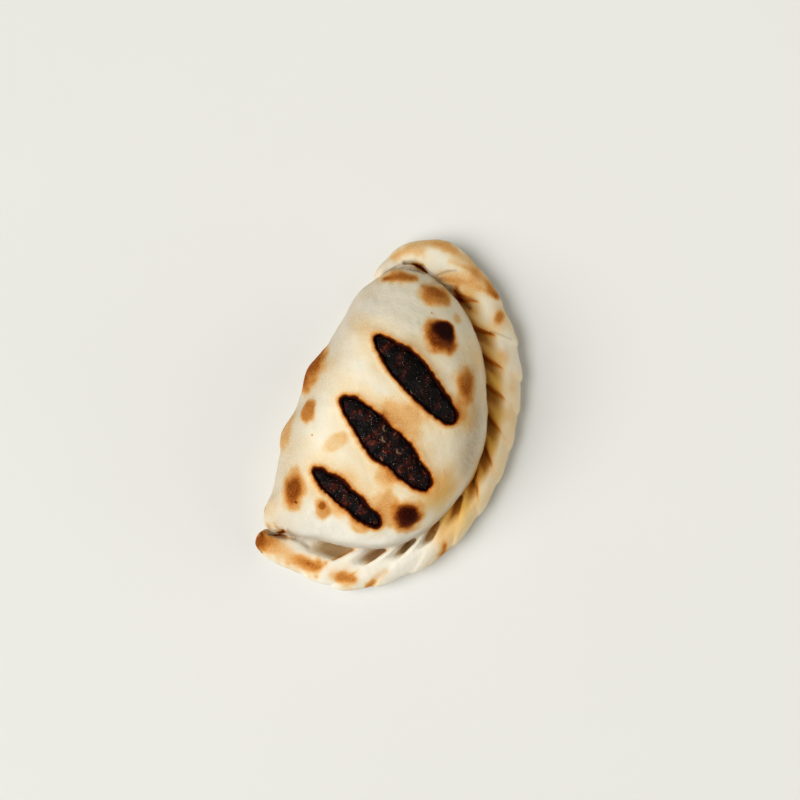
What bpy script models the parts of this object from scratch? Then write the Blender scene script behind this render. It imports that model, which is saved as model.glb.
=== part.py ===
"""A baked empanada: a half-moon turnover of folded dough, with a rope-folded rim and three open cuts.

Metres, +Z up. The flat underside is at Z 0, +X runs along the length, and the rope-folded rim faces -Y.
"""

import math
import random

import bmesh
import bpy
import numpy as np

MM = 0.001

# Plan of the pillow, widest line seen from above, anticlockwise from the +X end (mm)
PILLOW_OUTLINE = (
    (48.8, 12.5), (46, 19.5), (40, 24.6), (32.5, 28.2), (20, 29.2), (3, 30), (-20, 29.6),
    (-32.5, 26.8), (-41.5, 24.2), (-47.5, 24.2), (-52.5, 21.2), (-51.8, 14), (-48.5, 3.5), (-45, -10),
    (-38.5, -21), (-26, -29.2), (-8, -33.4), (8, -31.5), (22, -25), (34, -17), (43.5, -6), (48, 4.5),
)
# Plan of the rim's outer edge; the fold side from (42, 27.3) to (-56, 24) only closes the curve (mm)
RIM_OUTLINE = (
    (63, 10.5), (58.5, 19), (53.4, 23.8), (48.8, 25.7), (42, 27.3), (34, 26.5), (0, 24), (-40, 22),
    (-56, 24), (-60.5, 20.5), (-61.5, 11), (-61.2, 2), (-60.6, -6.5), (-58.3, -13), (-54, -20),
    (-47.5, -26.8), (-40.4, -32.6), (-31, -37.8), (-18, -41), (-2, -42.2), (11, -40.3), (24, -36.8),
    (37, -30.8), (47, -22.3), (55.3, -12.8), (61, -1),
)
CENTRE = np.array((-10.5, -2.0)) * MM

# Pillow
HEIGHT = 36 * MM
HEIGHT_LOSS_AT_ENDS = 6 * MM
END_REACH = 50 * MM
# Two gentle waves in its top: their height, length per radian, and start or skew along the length
WAVE_ALONG = (0.8 * MM, 13 * MM, 0.6)
WAVE_ACROSS = (0.5 * MM, 11 * MM, 25 * MM)
WIDEST_AT_RIM = 9 * MM
WIDEST_AT_FOLD = 14 * MM
CROWN_ROUNDNESS = 0.82
FLAT_SHARE = 0.86
FILLET_SHARE = 0.7
DOUGH = 3 * MM
CLEARANCE = 0.3 * MM

# Blisters on the pillow: x, y, radius and rise (mm)
BLISTERS = (
    (42, 4, 5.0, 0.9), (28.5, -4, 5.0, 0.9), (18, -18, 4.2, 0.8), (-29.5, -19.5, 4.8, 0.9),
    (-37.5, 18, 5.0, 0.8), (-12.5, 24.5, 3.8, 0.8), (1.5, 29.5, 7.0, 2.4), (-21.5, 28, 6.5, 1.4),
    (44, 19, 5.0, 0.9), (-39.5, 7, 3.5, 0.5),
)

# Rim. Across it, share 0 is the pillow's outline and share 1 the rim's outer edge.
RIM_FROM = math.radians(29)
RIM_TO = math.radians(-209.8)
RIM_WIDTH = 13 * MM
RIM_ROOT = 4 * MM
EDGE_HEIGHT = 5 * MM
EDGE_HEIGHT_GAIN = 2 * MM
LIFT_INSIDE = 0.3 * MM
LIFT_OUTSIDE = 1.4 * MM
SCALLOP = 0.8 * MM
TIP_TAPER = 6 * MM
# Its smooth band before the pleats, and how it blends into the pleats at either end of them
PLAIN_START = 59 * MM
PLAIN_TOP = 9.3 * MM
FADE = 8 * MM
# The smooth bands' height at the pillow's foot, and the share over which they rise, at the +X and -X ends
START_HOLLOW = (6.5 * MM, 0.12)
END_HOLLOW = (4.0 * MM, 0.25)
# The pleats' lengths along the outer edge (mm), and how high each stands beside the others
PLEATS = (
    (14, 1.0), (12.5, 0.95), (11.5, 1.0), (12.5, 0.9), (12.5, 0.95), (12.5, 0.9),
    (13.5, 1.0), (16.5, 0.95), (14, 1.05), (14, 1.1), (10.5, 1.05),
)
# Behind the last pleat the rim rises over this length into the smooth band at the -X end
LAST_RISE = 17 * MM
PLEAT_TOP = 9.8 * MM
PLEAT_DROP = 2.6 * MM
# Most pleats are lower at the pillow's foot, but the last ones reach up to it
FOOT_DROP = 3.2 * MM
FOOT_RISES_FROM = 140 * MM
FOOT_RISES_TO = 160 * MM
# A pocket opens under each pleat's nose: its floor's height, the shares across the rim between
# which it rises, sooner in the last pleats, and its share of the pleat's height there
POCKET = 1.3 * MM
POCKET_FROM = 0.1
POCKET_TO = 0.6
POCKET_TO_AT_LAST = 0.46
POCKET_FILL = 0.98
# Creases run this far along the rim for each step across it, less so half-way round it
SLANT = 1.2
SLANT_AT_FOOT = 0.35
SLANT_FADE = 38 * MM
SLANT_DIP = 0.3
SLANT_DIP_AT = 125 * MM
SLANT_DIP_WIDTH = 30 * MM
# One pleat along the rim, as shares of its length and of its rise: the slope up, then the steep drop
PLEAT_SLOPE = ((0.0, 0.0), (0.22, 0.07), (0.42, 0.34), (0.6, 0.78), (0.78, 1.0))
PLEAT_NOSE = ((0.92, 0.92), (0.98, 0.5))
# Where rings cross the smooth bands at the +X and -X ends, as shares of their lengths
START_RINGS = (0.02, 0.05, 0.1, 0.18, 0.28, 0.4, 0.52, 0.64, 0.76, 0.87, 0.95)
END_RINGS = (1.0, 0.75, 0.5, 0.3, 0.15, 0.06)

# Cuts: the fold end, the rim end, and half widths towards +X and towards -X at even steps between them (mm)
CUTS = (
    (
        (18.9, 14.8), (4.5, -20.6),
        (1.2, 2.3, 3.6, 5.0, 5.6, 5.2, 4.5, 3.9, 3.5, 3.0, 1.4),
        (1.1, 2.8, 3.9, 4.6, 4.8, 4.8, 4.7, 4.4, 3.7, 3.0, 1.4),
    ),
    (
        (-4.9, 15.4), (-18.4, -22.4),
        (1.6, 3.0, 4.1, 4.6, 4.8, 5.1, 5.2, 5.0, 4.1, 3.2, 1.6),
        (1.0, 2.7, 3.7, 4.6, 5.7, 6.0, 5.2, 4.4, 4.1, 3.4, 1.5),
    ),
    (
        (-29.7, 13.8), (-36.0, -12.7),
        (1.1, 1.8, 2.3, 2.7, 2.8, 2.6, 2.7, 2.4, 2.2, 2.0, 1.1),
        (0.9, 1.8, 2.3, 2.6, 3.0, 2.8, 2.8, 2.6, 2.5, 1.9, 0.9),
    ),
)
CUT_SIDE_POINTS = 20
CUT_FLOOR = 12 * MM
CUT_CEILING = 50 * MM

# Filling
FILLING_RECESS = 0.5 * MM
FILLING_CROWN = 0.9 * MM
LUMP_RADIUS = (1.0 * MM, 2.1 * MM)
LUMP_RISE = 0.45
LUMPS_PER_CUT = 46

# Mesh steps
ROUND_STEPS = 72
HEIGHT_STEPS = 26
INNER_ROUND_STEPS = 40
INNER_HEIGHT_STEPS = 16
LENGTH_STEPS_IN_CUT = 30
WIDTH_STEPS_IN_CUT = 8
# Round a section of the rim, in degrees from its outer edge over the top to its root and back below
RIM_TURNS = (0, 15, 30, 45, 60, 75, 90, 105, 120, 135, 150, 165, 180, 195, 225, 270, 315, 345)

CRUST_COLOUR = (0.80, 0.67, 0.45, 1)
FILLING_COLOUR = (0.030, 0.012, 0.009, 1)


def closed_spline(points, steps_per_span=24):
    """A closed Catmull-Rom curve through plan points, as an array of (x, y)."""
    here = np.array(points) * MM
    before, after, beyond = (np.roll(here, shift, 0) for shift in (1, -1, -2))
    t = np.linspace(0, 1, steps_per_span, endpoint=False)[None, :, None]
    a, b, c, d = (p[:, None, :] for p in (before, here, after, beyond))
    linear = (c - a) * t
    square = (2 * a - 5 * b + 4 * c - d) * t**2
    cube = (3 * b - a - 3 * c + d) * t**3
    return ((2 * b + linear + square + cube) / 2).reshape(-1, 2)


def radius_by_angle(points):
    """A function that gives an outline's distance from CENTRE at any angle."""
    offsets = closed_spline(points) - CENTRE
    angles = np.arctan2(offsets[:, 1], offsets[:, 0])
    distances = np.hypot(offsets[:, 0], offsets[:, 1])
    return lambda angle: np.interp(angle, angles, distances, period=2 * math.pi)


pillow_radius = radius_by_angle(PILLOW_OUTLINE)
rim_radius = radius_by_angle(RIM_OUTLINE)


def smooth_step(x):
    x = np.clip(x, 0, 1)
    return x * x * (3 - 2 * x)


def widest_height(angle):
    """Height of the pillow's widest line: low at the rim, higher round the fold."""
    towards_fold = smooth_step((np.sin(angle) + 0.15) / 0.9)
    return WIDEST_AT_RIM + (WIDEST_AT_FOLD - WIDEST_AT_RIM) * towards_fold


def crown_height(x, y):
    """Height that the pillow's top reaches over a plan point, before it rounds off to its outline."""
    height, length, start = WAVE_ALONG
    waves = height * np.sin(x / length + start)
    height, length, skew = WAVE_ACROSS
    waves += height * np.sin(y / length + x / skew)
    return HEIGHT - HEIGHT_LOSS_AT_ENDS * (x / END_REACH) ** 2 + waves


def pillow_top(x, y, inset=0.0):
    """Height of the pillow's top over a plan point; inset is the depth below the dough's face."""
    dx, dy = x - CENTRE[0], y - CENTRE[1]
    angle = np.arctan2(dy, dx)
    share = np.clip(np.hypot(dx, dy) / (pillow_radius(angle) - inset), 0, 1)
    widest = widest_height(angle)
    rise = np.sqrt(1 - share ** (2 / CROWN_ROUNDNESS))
    return widest + (crown_height(x, y) - inset - widest) * rise


def pillow_point(angle, polar, inset=0.0):
    """A point of the pillow. polar runs from 0 at the top to a half turn at the middle beneath."""
    reach = pillow_radius(angle) - inset
    widest = widest_height(angle)
    if polar <= math.pi / 2:
        share = math.sin(polar) ** CROWN_ROUNDNESS
    else:
        under = (polar - math.pi / 2) / (math.pi / 2)
        turn = min(under / FILLET_SHARE, 1) * math.pi / 2
        share = FLAT_SHARE + (1 - FLAT_SHARE) * math.cos(turn)
        share *= 1 - max(under - FILLET_SHARE, 0) / (1 - FILLET_SHARE)
    x = CENTRE[0] + reach * share * math.cos(angle)
    y = CENTRE[1] + reach * share * math.sin(angle)
    if polar <= math.pi / 2:
        z = widest + (crown_height(x, y) - inset - widest) * math.cos(polar)
    else:
        z = inset + (widest - inset) * (1 - math.sin(turn))
    return np.array((x, y, z))


def raise_blisters(point):
    """The point pushed outwards where a blister swells the dough."""
    core = np.array((0.75 * point[0], 0, WIDEST_AT_FOLD / 2))
    outwards = (point - core) / np.linalg.norm(point - core)
    for x, y, radius, rise in BLISTERS:
        middle = np.array((x * MM, y * MM, pillow_top(x * MM, y * MM)))
        nearness = 1 - np.linalg.norm(point - middle) / (1.5 * radius * MM)
        point = point + outwards * rise * MM * smooth_step(nearness)
    return point


def mesh_object(name, bm, collection):
    """An object from a bmesh, which it frees."""
    bmesh.ops.recalc_face_normals(bm, faces=bm.faces)
    mesh = bpy.data.meshes.new(name)
    bm.to_mesh(mesh)
    bm.free()
    made = bpy.data.objects.new(name, mesh)
    collection.objects.link(made)
    return made


def pillow(name, collection, inset=0.0, around=ROUND_STEPS, up=HEIGHT_STEPS):
    """A sphere shaped into the stuffed half-moon, or into its inside at a depth below the dough's face."""
    bm = bmesh.new()
    bmesh.ops.create_uvsphere(bm, u_segments=around, v_segments=up, radius=1)
    for vertex in bm.verts:
        angle = math.atan2(vertex.co.y, vertex.co.x)
        polar = math.acos(max(-1.0, min(1.0, vertex.co.z)))
        point = pillow_point(angle, polar, inset)
        if not inset and polar <= math.pi / 2:
            point = raise_blisters(point)
        vertex.co = point
    return mesh_object(name, bm, collection)


def rim_edge():
    """The rim's outer edge from its +X end round to its -X end: distances along it, and angles."""
    angles = np.linspace(RIM_FROM, RIM_TO, 1200)
    reach = rim_radius(angles)
    points = np.stack((reach * np.cos(angles), reach * np.sin(angles)), 1)
    steps = np.linalg.norm(np.diff(points, axis=0), axis=1)
    return np.concatenate(((0,), np.cumsum(steps))), angles


EDGE_DISTANCES, EDGE_ANGLES = rim_edge()
RIM_LENGTH = EDGE_DISTANCES[-1]
PLAIN_END = RIM_LENGTH - PLAIN_START - sum(length for length, _ in PLEATS) * MM - LAST_RISE


def pleat_rings():
    """Rings along the rim as (distance, rise): plain at both ends, and pleat after pleat between them."""
    rings = [(PLAIN_START * share, 1.0) for share in START_RINGS]
    start = PLAIN_START
    for length, height in PLEATS:
        rings += [(start + length * MM * share, height * rise) for share, rise in PLEAT_SLOPE + PLEAT_NOSE]
        start += length * MM
    rings += [(start + LAST_RISE * share, rise) for share, rise in PLEAT_SLOPE]
    return rings + [(RIM_LENGTH - PLAIN_END * share, 1.0) for share in END_RINGS]


def plain_share(distance):
    """1 in the smooth bands at both ends of the rim, 0 in its pleats."""
    start = smooth_step((PLAIN_START + FADE / 2 - distance) / FADE)
    end = smooth_step((distance - RIM_LENGTH + PLAIN_END + FADE / 2) / FADE)
    return start + end


def rim_top(distance, across, rise):
    """Height of the rim's upper face."""
    foot_rise = smooth_step((distance - FOOT_RISES_FROM) / (FOOT_RISES_TO - FOOT_RISES_FROM))
    drop = PLEAT_DROP if across > 0.5 else FOOT_DROP * (1 - foot_rise)
    pleat = PLEAT_TOP - drop * min(abs(across - 0.5) / 0.5, 1) ** 2
    pocket_to = POCKET_TO + (POCKET_TO_AT_LAST - POCKET_TO) * foot_rise
    closing = smooth_step((across - POCKET_FROM) / (pocket_to - POCKET_FROM))
    pocket = POCKET + (POCKET_FILL * pleat - POCKET) * closing
    pleated = pocket + (pleat - pocket) * rise
    foot, width = START_HOLLOW if distance < RIM_LENGTH / 2 else END_HOLLOW
    smooth = foot + (PLAIN_TOP - foot) * smooth_step(across / width)
    smooth -= PLEAT_DROP * max((across - 0.6) / 0.4, 0) ** 2
    return pleated + (smooth - pleated) * plain_share(distance)


def crease_run(distance, across):
    """How far along the rim a crease has yet to run to the outer edge, from a share across the rim."""
    slant = SLANT * smooth_step(min(distance, RIM_LENGTH - distance) / SLANT_FADE)
    slant *= 1 - SLANT_DIP * math.exp(-(((distance - SLANT_DIP_AT) / SLANT_DIP_WIDTH) ** 2))
    inwards = 1 - min(max(across, 0), 1)
    return slant * RIM_WIDTH * (inwards + SLANT_AT_FOOT * inwards**3)


def rim_point(distance, rise, turn):
    """A point of the rim. turn goes round its section, from the outer edge over the top to the root."""
    from_tip = min(distance, RIM_LENGTH - distance)
    taper = math.sqrt(1 - (1 - min(from_tip / TIP_TAPER, 1)) ** 2)
    root = -RIM_ROOT / RIM_WIDTH
    outwards = (1 + math.cos(turn)) / 2
    across = root + (1 - root) * outwards
    edge_height = EDGE_HEIGHT + EDGE_HEIGHT_GAIN * smooth_step(1 - distance / (2 * PLAIN_START))
    body = abs(math.sin(turn)) ** 0.6
    if math.sin(turn) >= 0:
        z = edge_height + body * (rim_top(distance, across, rise) - EDGE_HEIGHT)
    else:
        lift = LIFT_INSIDE + (LIFT_OUTSIDE + edge_height - EDGE_HEIGHT) * smooth_step(across)
        z = edge_height - body * (edge_height - lift)
    across += SCALLOP / RIM_WIDTH * (rise - 0.5) * (1 - plain_share(distance)) * outwards
    across = 0.5 + (across - 0.5) * taper
    z = edge_height + (z - edge_height) * taper
    angle = np.interp(distance - crease_run(distance, across), EDGE_DISTANCES, EDGE_ANGLES)
    inner, outer = pillow_radius(angle), rim_radius(angle)
    reach = inner + across * (outer - inner if across > 0 else RIM_WIDTH)
    return CENTRE[0] + reach * math.cos(angle), CENTRE[1] + reach * math.sin(angle), z


def rope_rim(name, collection):
    """The rope-folded rim: a loft of unlike sections whose rings lie along the slanting creases."""
    turns = [math.radians(turn) for turn in RIM_TURNS]
    bm = bmesh.new()
    rings = []
    for distance, rise in pleat_rings():
        rings.append([bm.verts.new(rim_point(distance, rise, turn)) for turn in turns])
    for ring, following in zip(rings, rings[1:]):
        for i in range(len(turns)):
            j = (i + 1) % len(turns)
            bm.faces.new((ring[i], ring[j], following[j], following[i]))
    bm.faces.new(rings[0])
    bm.faces.new(rings[-1])
    return mesh_object(name, bm, collection)


def cut_point(cut, share, side, margin=0.0):
    """A plan point of a cut. share runs from its fold end to its rim end, side from 1 at +X to -1 at -X."""
    first, second, widths_forward, widths_back = cut
    first, second = np.array(first) * MM, np.array(second) * MM
    along = (second - first) / np.linalg.norm(second - first)
    across = np.array((-along[1], along[0]))
    widths = widths_forward if side > 0 else widths_back
    half = np.interp(share, np.linspace(0, 1, len(widths)), widths) * MM
    inner_first, inner_second = first + along * margin, second - along * margin
    return inner_first + (inner_second - inner_first) * share + across * side * (half - margin)


def cut_cutter(name, cut, collection):
    """An upright prism of the cut's outline, from inside the filling to clear above the crust."""
    shares = [step / CUT_SIDE_POINTS for step in range(CUT_SIDE_POINTS + 1)]
    outline = [cut_point(cut, share, 1) for share in shares]
    outline += [cut_point(cut, share, -1) for share in reversed(shares)]
    bm = bmesh.new()
    floor = bm.faces.new([bm.verts.new((x, y, CUT_FLOOR)) for x, y in outline])
    extruded = bmesh.ops.extrude_face_region(bm, geom=[floor])["geom"]
    raised = [item for item in extruded if isinstance(item, bmesh.types.BMVert)]
    bmesh.ops.translate(bm, verts=raised, vec=(0, 0, CUT_CEILING - CUT_FLOOR))
    return mesh_object(name, bm, collection)


def lump_height(x, y, lumps):
    """How far the lump over a plan point, if any, stands out of the filling."""
    best = 0.0
    for lump_x, lump_y, radius in lumps:
        inside = radius**2 - (x - lump_x) ** 2 - (y - lump_y) ** 2
        best = max(best, LUMP_RISE * math.sqrt(max(inside, 0)))
    return best


def filling_in_cut(name, cut, seed, collection):
    """The lumpy filling that wells up in a cut, as a column down into the filling's core."""
    draw = random.Random(seed)
    lumps = [
        (*cut_point(cut, draw.random(), draw.uniform(-0.9, 0.9)), draw.uniform(*LUMP_RADIUS))
        for _ in range(LUMPS_PER_CUT)
    ]
    bm = bmesh.new()
    bmesh.ops.create_grid(bm, x_segments=LENGTH_STEPS_IN_CUT, y_segments=WIDTH_STEPS_IN_CUT, size=1)
    for vertex in bm.verts:
        share, side = (vertex.co.x + 1) / 2, vertex.co.y
        x, y = cut_point(cut, share, side, CLEARANCE)
        swell = FILLING_CROWN * (1 - side**2) * math.sin(math.pi * share) ** 0.5
        z = pillow_top(x, y) - FILLING_RECESS - FILLING_CROWN + swell + lump_height(x, y, lumps)
        vertex.co = (x, y, z)
    extruded = bmesh.ops.extrude_face_region(bm, geom=list(bm.faces))["geom"]
    for item in extruded:
        if isinstance(item, bmesh.types.BMVert):
            item.co.z = CUT_FLOOR
    return mesh_object(name, bm, collection)


def boolean(target, other, operation):
    """Joins another mesh to the target, or cuts it away, and keeps it only as a hidden guide."""
    modifier = target.modifiers.new(f"{operation.lower()}_{other.name}", "BOOLEAN")
    modifier.operation = operation
    modifier.object = other
    modifier.solver = "EXACT"
    other.hide_render = True
    other.display_type = "WIRE"


def material(name, colour, roughness):
    made = bpy.data.materials.new(name)
    made.use_nodes = True
    shader = made.node_tree.nodes["Principled BSDF"]
    shader.inputs["Base Color"].default_value = colour
    shader.inputs["Roughness"].default_value = roughness
    return made


def finish(target, made_of):
    target.data.materials.append(made_of)
    target.data.shade_smooth()
    target.data.set_sharp_from_angle(angle=math.radians(50))


def new_collection(name):
    made = bpy.data.collections.new(name)
    bpy.context.scene.collection.children.link(made)
    return made


def main():
    for old in list(bpy.data.objects):
        bpy.data.objects.remove(old, do_unlink=True)
    parts, guides = new_collection("empanada"), new_collection("guides")

    crust = pillow("crust", parts)
    boolean(crust, rope_rim("rope_rim", guides), "UNION")
    inside = pillow("inside", guides, DOUGH, INNER_ROUND_STEPS, INNER_HEIGHT_STEPS)
    boolean(crust, inside, "DIFFERENCE")
    filling = pillow("filling", parts, DOUGH + CLEARANCE, INNER_ROUND_STEPS, INNER_HEIGHT_STEPS)
    for number, cut in enumerate(CUTS, 1):
        boolean(crust, cut_cutter(f"cut_{number}", cut, guides), "DIFFERENCE")
        boolean(filling, filling_in_cut(f"filling_in_cut_{number}", cut, number, guides), "UNION")
    finish(crust, material("baked_dough", CRUST_COLOUR, 0.7))
    finish(filling, material("dark_filling", FILLING_COLOUR, 0.4))


main()
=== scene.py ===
"""The looks of a baked empanada: fine dough, browned blisters, lumpy filling, light and camera.

Metres, in the frame of the solids: +Z up, +X along the length, and -Y towards the rope-folded rim.
"""

import math

import bmesh
import bpy
import numpy as np
from mathutils import Matrix, Vector
from mathutils.kdtree import KDTree


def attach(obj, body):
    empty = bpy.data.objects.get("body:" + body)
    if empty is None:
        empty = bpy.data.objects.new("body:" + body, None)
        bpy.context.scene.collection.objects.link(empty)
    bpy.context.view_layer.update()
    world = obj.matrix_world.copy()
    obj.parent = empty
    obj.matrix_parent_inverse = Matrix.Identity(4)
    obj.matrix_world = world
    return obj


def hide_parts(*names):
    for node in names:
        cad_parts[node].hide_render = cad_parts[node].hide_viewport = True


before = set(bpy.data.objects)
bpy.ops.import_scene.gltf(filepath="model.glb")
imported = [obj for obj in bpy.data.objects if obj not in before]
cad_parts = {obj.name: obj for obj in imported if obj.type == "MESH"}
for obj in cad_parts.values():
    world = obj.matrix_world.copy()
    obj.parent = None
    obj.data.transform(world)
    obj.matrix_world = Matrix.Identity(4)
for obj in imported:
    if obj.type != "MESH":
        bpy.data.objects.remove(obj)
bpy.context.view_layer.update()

MM = 0.001

# Main shapes, with the same values as the solids (mm)
PILLOW_OUTLINE = (
    (48.8, 12.5), (46, 19.5), (40, 24.6), (32.5, 28.2), (20, 29.2), (3, 30), (-20, 29.6),
    (-32.5, 26.8), (-41.5, 24.2), (-47.5, 24.2), (-52.5, 21.2), (-51.8, 14), (-48.5, 3.5), (-45, -10),
    (-38.5, -21), (-26, -29.2), (-8, -33.4), (8, -31.5), (22, -25), (34, -17), (43.5, -6), (48, 4.5),
)
RIM_OUTLINE = (
    (63, 10.5), (58.5, 19), (53.4, 23.8), (48.8, 25.7), (42, 27.3), (34, 26.5), (0, 24), (-40, 22),
    (-56, 24), (-60.5, 20.5), (-61.5, 11), (-61.2, 2), (-60.6, -6.5), (-58.3, -13), (-54, -20),
    (-47.5, -26.8), (-40.4, -32.6), (-31, -37.8), (-18, -41), (-2, -42.2), (11, -40.3), (24, -36.8),
    (37, -30.8), (47, -22.3), (55.3, -12.8), (61, -1),
)
CENTRE = np.array((-10.5, -2.0)) * MM
HEIGHT = 36 * MM
HEIGHT_LOSS_AT_ENDS = 6 * MM
END_REACH = 50 * MM
WAVE_ALONG = (0.8 * MM, 13 * MM, 0.6)
WAVE_ACROSS = (0.5 * MM, 11 * MM, 25 * MM)
WIDEST_AT_RIM = 9 * MM
WIDEST_AT_FOLD = 14 * MM
CROWN_ROUNDNESS = 0.82
FLAT_SHARE = 0.86
FILLET_SHARE = 0.7
DOUGH = 3 * MM
CLEARANCE = 0.3 * MM

# Blisters on the pillow: x, y, radius and rise (mm)
BLISTERS = (
    (42, 4, 5, 0.9), (28.5, -4, 5, 0.9), (18, -18, 4.2, 0.8), (-29.5, -19.5, 4.8, 0.9),
    (-37.5, 18, 5, 0.8), (-12.5, 24.5, 3.8, 0.8), (1.5, 29.5, 7, 2.4), (-21.5, 28, 6.5, 1.4),
    (44, 19, 5, 0.9), (-39.5, 7, 3.5, 0.5),
)

# Rim. Across it, share 0 is the pillow's outline and share 1 the rim's outer edge.
RIM_FROM = math.radians(29)
RIM_TO = math.radians(-209.8)
RIM_WIDTH = 13 * MM
RIM_ROOT = 4 * MM
EDGE_HEIGHT = 5 * MM
EDGE_HEIGHT_GAIN = 2 * MM
LIFT_INSIDE = 0.3 * MM
LIFT_OUTSIDE = 1.4 * MM
SCALLOP = 0.8 * MM
TIP_TAPER = 6 * MM
# The lower, the fuller the rim's section: 1 makes it oval
RIM_FULLNESS = 0.6
# Its smooth band before the pleats, and how it blends into the pleats at either end of them
PLAIN_START = 59 * MM
PLAIN_TOP = 9.3 * MM
FADE = 8 * MM
# The smooth bands' height at the pillow's foot, and the share over which they rise, at the +X and -X ends
START_HOLLOW = (6.5 * MM, 0.12)
END_HOLLOW = (4.0 * MM, 0.25)
# The pleats' lengths along the outer edge (mm), and how high each stands beside the others
PLEATS = (
    (14, 1.0), (12.5, 0.95), (11.5, 1.0), (12.5, 0.9), (12.5, 0.95), (12.5, 0.9),
    (13.5, 1.0), (16.5, 0.95), (14, 1.05), (14, 1.1), (10.5, 1.05),
)
# Behind the last pleat the rim rises over this length into the smooth band at the -X end
LAST_RISE = 17 * MM
PLEAT_TOP = 9.8 * MM
PLEAT_DROP = 2.6 * MM
# Most pleats are lower at the pillow's foot, but the last ones reach up to it
FOOT_DROP = 3.2 * MM
FOOT_RISES_FROM = 140 * MM
FOOT_RISES_TO = 160 * MM
# A pocket opens under each pleat's nose: its floor's height, the shares across the rim between
# which it rises, sooner in the last pleats, and its share of the pleat's height there
POCKET = 1.3 * MM
POCKET_FROM = 0.1
POCKET_TO = 0.6
POCKET_TO_AT_LAST = 0.46
POCKET_FILL = 0.98
# Creases run this far along the rim for each step across it, less so half-way round it
SLANT = 1.2
SLANT_AT_FOOT = 0.35
SLANT_FADE = 38 * MM
SLANT_DIP = 0.3
SLANT_DIP_AT = 125 * MM
SLANT_DIP_WIDTH = 30 * MM
# One pleat along the rim, as shares of its length and of its rise. Its nose hangs over the next one's root.
PLEAT_SLOPE = ((0.03, 0.0), (0.22, 0.07), (0.42, 0.34), (0.6, 0.78), (0.78, 1.0))
PLEAT_NOSE = ((0.92, 0.98), (1.02, 0.86), (1.07, 0.64), (1.06, 0.36), (1.04, 0.1))

# Cuts: the fold end, the rim end, and half widths towards +X and towards -X at even steps between them (mm)
CUTS = (
    (
        (18.9, 14.8), (4.5, -20.6),
        (1.2, 2.3, 3.6, 5, 5.6, 5.2, 4.5, 3.9, 3.5, 3, 1.4),
        (1.1, 2.8, 3.9, 4.6, 4.8, 4.8, 4.7, 4.4, 3.7, 3, 1.4),
    ),
    (
        (-4.9, 15.4), (-18.4, -22.4),
        (1.6, 3, 4.1, 4.6, 4.8, 5.1, 5.2, 5, 4.1, 3.2, 1.6),
        (1, 2.7, 3.7, 4.6, 5.7, 6, 5.2, 4.4, 4.1, 3.4, 1.5),
    ),
    (
        (-29.7, 13.8), (-36, -12.7),
        (1.1, 1.8, 2.3, 2.7, 2.8, 2.6, 2.7, 2.4, 2.2, 2, 1.1),
        (0.9, 1.8, 2.3, 2.6, 3, 2.8, 2.8, 2.6, 2.5, 1.9, 0.9),
    ),
)
WELL_DEPTH = 5.5 * MM
WELL_TOP = 4 * MM
# Unevenness of the cuts' edges: height (mm), and how many seeded turns along a cut
CUT_RAGS = ((0.07, 12), (0.15, 38))
CUT_SEED = 1000
# The cuts' ends round off over this share of their length, down to this share of their width
CUT_ROUNDING = 0.05
CUT_END_WIDTH = 0.3

# Fineness
PILLOW_STEPS = (300, 150)
CORE_STEPS = (90, 45)
SPLINE_STEPS = 24
EDGE_STEPS = 1200
RIM_SECTION_STEPS = 56
RIM_STEP = 0.5 * MM
CUT_LENGTH_STEPS = 121
CUT_WIDTH_STEPS = 13
CUT_OUTLINE_STEPS = 160
VOXEL = 0.42 * MM
SMOOTHING_ROUNDS = 3

# Camera. The image is square, and FIELD_WIDTH is what it shows across at the camera's distance.
CAMERA_DISTANCE = 0.65
CAMERA_ELEVATION = math.radians(82)
CAMERA_TARGET = Vector((0.0067, 0.0002, 0.005))
IMAGE_RIGHT = Vector((0.438, -0.899, 0)).normalized()
FIELD_WIDTH = 0.2732


def catmull_rom(a, b, c, d, t):
    """The smooth curve from b to c, with a before and d after them, at shares t of the way."""
    linear = (c - a) * t
    square = (2 * a - 5 * b + 4 * c - d) * t**2
    cube = (3 * b - a - 3 * c + d) * t**3
    return (2 * b + linear + square + cube) / 2


def closed_spline(points):
    """A closed smooth curve through plan points (mm), as an array of (x, y)."""
    here = np.array(points) * MM
    four = (np.roll(here, shift, 0)[:, None, :] for shift in (1, 0, -1, -2))
    t = np.linspace(0, 1, SPLINE_STEPS, endpoint=False)[None, :, None]
    return catmull_rom(*four, t).reshape(-1, 2)


def round_centre(points):
    """Angles and distances of points in plan, as seen from CENTRE."""
    x, y = (points[:, :2] - CENTRE).T
    return np.arctan2(y, x), np.hypot(x, y)


def radius_by_angle(points):
    """A function that gives an outline's distance from CENTRE at any angle."""
    angles, distances = round_centre(closed_spline(points))
    return lambda angle: np.interp(angle, angles, distances, period=2 * math.pi)


pillow_radius = radius_by_angle(PILLOW_OUTLINE)
rim_radius = radius_by_angle(RIM_OUTLINE)


def smoothstep(x):
    """0 up to 0, 1 from 1 on, and a smooth rise between them."""
    x = np.clip(x, 0, 1)
    return x * x * (3 - 2 * x)


def bell(x, middle, width):
    """1 at the middle, falling off smoothly over the width to either side."""
    return np.exp(-(((x - middle) / width) ** 2))


def waves(points, wavelength, seed, count=18):
    """Smooth unevenness about 0, of about unit strength: a sum of plane waves in seeded directions."""
    draw = np.random.RandomState(seed)
    directions = draw.normal(size=(count, 3))
    directions /= np.linalg.norm(directions, axis=1)[:, None]
    lengths = wavelength * draw.uniform(0.7, 1.5, count)
    phases = draw.uniform(0, 2 * math.pi, count)
    angles = points @ (directions * (2 * math.pi / lengths)[:, None]).T + phases
    return np.sin(angles).sum(1) / math.sqrt(count / 2)


def uneven(points, layers):
    """Unevenness in layers, each with its strength, wavelength (mm) and seed."""
    return sum(strength * waves(points, wavelength * MM, seed) for strength, wavelength, seed in layers)


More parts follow.
